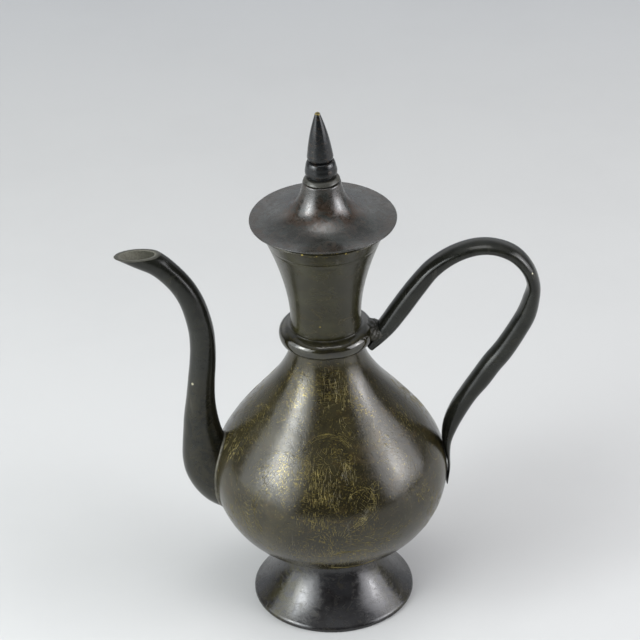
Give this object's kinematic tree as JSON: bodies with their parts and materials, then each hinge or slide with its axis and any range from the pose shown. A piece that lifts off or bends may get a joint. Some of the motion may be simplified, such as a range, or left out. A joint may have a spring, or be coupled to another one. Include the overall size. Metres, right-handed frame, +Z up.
{
  "type": "coffee pot",
  "caption": "Long-necked coffee pot in patinated engraved brass with a swan-neck spout, a bow handle, a trumpet foot and a lift-off pointed lid with a finial.",
  "frame": {"origin": "on the table surface, under the axis of the pot's body, at the middle of the foot", "axes": "+Z up along the body's axis; +X towards the handle; the spout points along -X; the front seen in use from the side is -Y"},
  "size_m": [0.1861, 0.1064, 0.2501],
  "materials": {
    "engraved_brass": "dark olive-brown patina, engraved lines worn back to brass",
    "neck_patina": "olive-brown patina, satin",
    "foot_patina": "near-black patina, satin",
    "bar_patina": "near-black patina, half gloss",
    "lid_patina": "charcoal-brown mottled patina, satin",
    "braze": "rough dull braze metal",
    "bare_brass": "dull unpatinated brass"
  },
  "bodies": {
    "pot": {"foot": "foot_patina", "lower_bowl": "engraved_brass", "upper_bowl": "engraved_brass", "neck": "neck_patina", "neck_rim": "neck_patina", "collar_ring": "neck_patina", "spout": "bar_patina", "spout_braze": "braze", "handle": "bar_patina", "handle_upper_braze": "braze", "handle_lower_braze": "braze"},
    "lid": {"lid_cap": "lid_patina", "lid_bezel": "bare_brass", "finial_seat": "lid_patina", "finial_bead": "lid_patina", "finial_spike": "lid_patina", "finial_stud": "bare_brass", "finial_washer": "bare_brass", "finial_nut": "bare_brass"}
  },
  "joints": [
    {"name": "lid_lift", "type": "slide", "parent": "pot", "child": "lid", "axis": [0, 0, 1], "range_m": [0, 0.06]}
  ]
}
